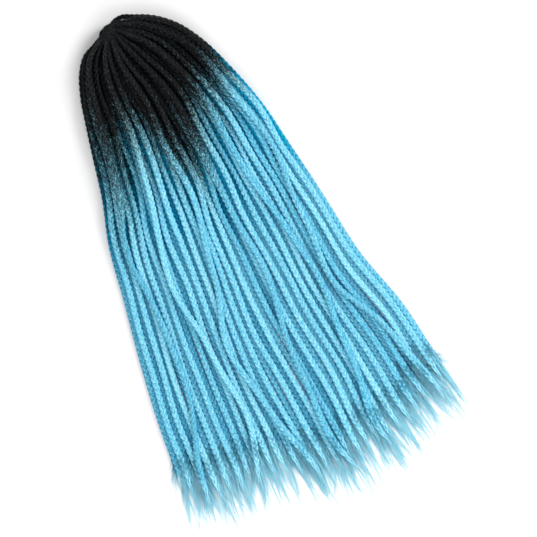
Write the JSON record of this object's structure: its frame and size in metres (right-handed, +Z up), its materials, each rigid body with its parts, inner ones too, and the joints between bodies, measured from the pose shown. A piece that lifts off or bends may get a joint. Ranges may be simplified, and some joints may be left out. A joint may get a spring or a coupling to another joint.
{
  "type": "crochet box braid bundle",
  "caption": "Bundle of ready-plaited crochet box braids with a dark-to-blue ombre, fanned out flat from the tie at its looped roots to loose ends.",
  "frame": {"origin": "middle of the bundle's outline on the surface that it lies on", "axes": "+Z up from that surface, +Y towards the tied roots along the bundle's length, +X across it"},
  "size_m": [0.3376, 0.6098, 0.0284],
  "materials": {
    "braided_hair": "smooth synthetic hair, black at the roots and sky blue in the lengths",
    "tie_elastic": "black wound elastic"
  },
  "bodies": {
    "root": {"braid_01": "braided_hair", "braid_02": "braided_hair", "braid_03": "braided_hair", "braid_04": "braided_hair", "braid_05": "braided_hair", "braid_06": "braided_hair", "braid_07": "braided_hair", "braid_08": "braided_hair", "braid_09": "braided_hair", "braid_10": "braided_hair", "braid_11": "braided_hair", "braid_12": "braided_hair", "braid_13": "braided_hair", "braid_14": "braided_hair", "braid_15": "braided_hair", "braid_16": "braided_hair", "braid_17": "braided_hair", "braid_18": "braided_hair", "braid_19": "braided_hair", "braid_20": "braided_hair", "braid_21": "braided_hair", "braid_22": "braided_hair", "braid_23": "braided_hair", "braid_24": "braided_hair", "braid_25": "braided_hair", "braid_26": "braided_hair", "braid_27": "braided_hair", "braid_28": "braided_hair", "braid_29": "braided_hair", "braid_30": "braided_hair", "braid_31": "braided_hair", "braid_32": "braided_hair", "braid_33": "braided_hair", "braid_34": "braided_hair", "braid_35": "braided_hair", "braid_36": "braided_hair", "braid_37": "braided_hair", "braid_38": "braided_hair", "braid_39": "braided_hair", "braid_40": "braided_hair", "braid_41": "braided_hair", "braid_42": "braided_hair", "braid_43": "braided_hair", "braid_44": "braided_hair", "braid_45": "braided_hair", "braid_46": "braided_hair", "braid_47": "braided_hair", "braid_48": "braided_hair", "braid_49": "braided_hair", "braid_50": "braided_hair", "braid_51": "braided_hair", "braid_52": "braided_hair", "braid_53": "braided_hair", "braid_54": "braided_hair", "braid_55": "braided_hair", "loop_tie": "tie_elastic"}
  },
  "joints": []
}
